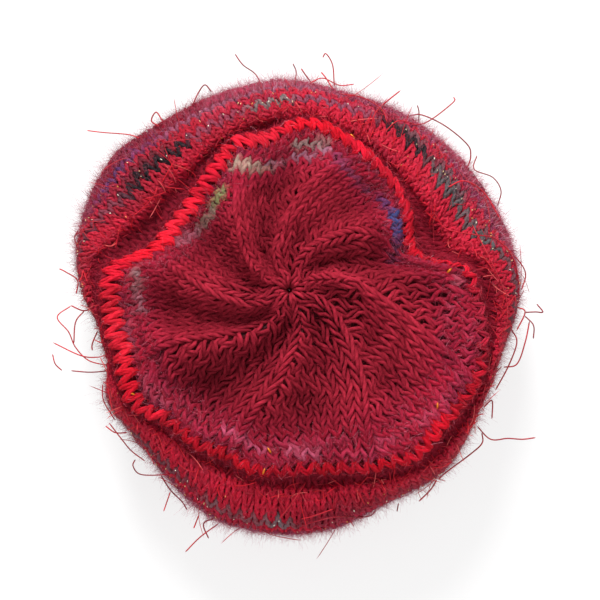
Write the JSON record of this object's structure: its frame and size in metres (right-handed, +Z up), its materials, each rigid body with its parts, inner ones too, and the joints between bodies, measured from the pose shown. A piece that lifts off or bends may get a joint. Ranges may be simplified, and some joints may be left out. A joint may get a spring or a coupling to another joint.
{
  "type": "beret",
  "caption": "Slouchy hand-knitted striped beret with a swirled crown, fuzzy eyelash trim and a ribbed brim around an open head space.",
  "frame": {"origin": "centre of the head opening, in the plane of the brim's lower edge, which rests on the surface", "axes": "+Z up through the crown, +Y towards the side of the crown that is pushed in, +X to its right"},
  "size_m": [0.2995, 0.3103, 0.082],
  "materials": {
    "cast_on_edge": "burgundy wool, soft and fuzzy",
    "brim_rib_band": "burgundy wool, soft rib",
    "increase_round_band": "crimson twisted yarn",
    "underside_mauve_band": "mauve heather wool",
    "underside_crimson_band": "crimson twisted yarn",
    "rim_mohair_band": "dark red mohair with a pale halo",
    "heather_band": "mauve and slate blue heather wool",
    "flecked_crimson_band": "glossy crimson twisted yarn with pale metallic flecks",
    "variegated_stripe": "black, grey and teal yarn with pale metallic flecks",
    "eyelash_band": "crimson twisted yarn with bright red eyelash yarn",
    "valley_mohair_band": "dark burgundy mohair",
    "bright_red_band": "thick bright red wool",
    "mauve_band": "mauve, pink and green variegated wool",
    "crown_swirl": "burgundy wool with clear stitches",
    "crown_closing_ring": "burgundy wool",
    "eyelash_filaments": "thin shiny red filament",
    "woven_in_ends": "wool ends of each colour"
  },
  "bodies": {
    "root": {"cast_on_edge": "cast_on_edge", "brim_rib_band": "brim_rib_band", "increase_round_band": "increase_round_band", "underside_mauve_band": "underside_mauve_band", "underside_crimson_band": "underside_crimson_band", "rim_mohair_band": "rim_mohair_band", "heather_band": "heather_band", "flecked_crimson_band": "flecked_crimson_band", "variegated_stripe": "variegated_stripe", "eyelash_band": "eyelash_band", "valley_mohair_band": "valley_mohair_band", "bright_red_band": "bright_red_band", "mauve_band": "mauve_band", "crown_swirl": "crown_swirl", "crown_closing_ring": "crown_closing_ring", "eyelash_filaments": "eyelash_filaments", "woven_in_ends": "woven_in_ends"}
  },
  "joints": []
}
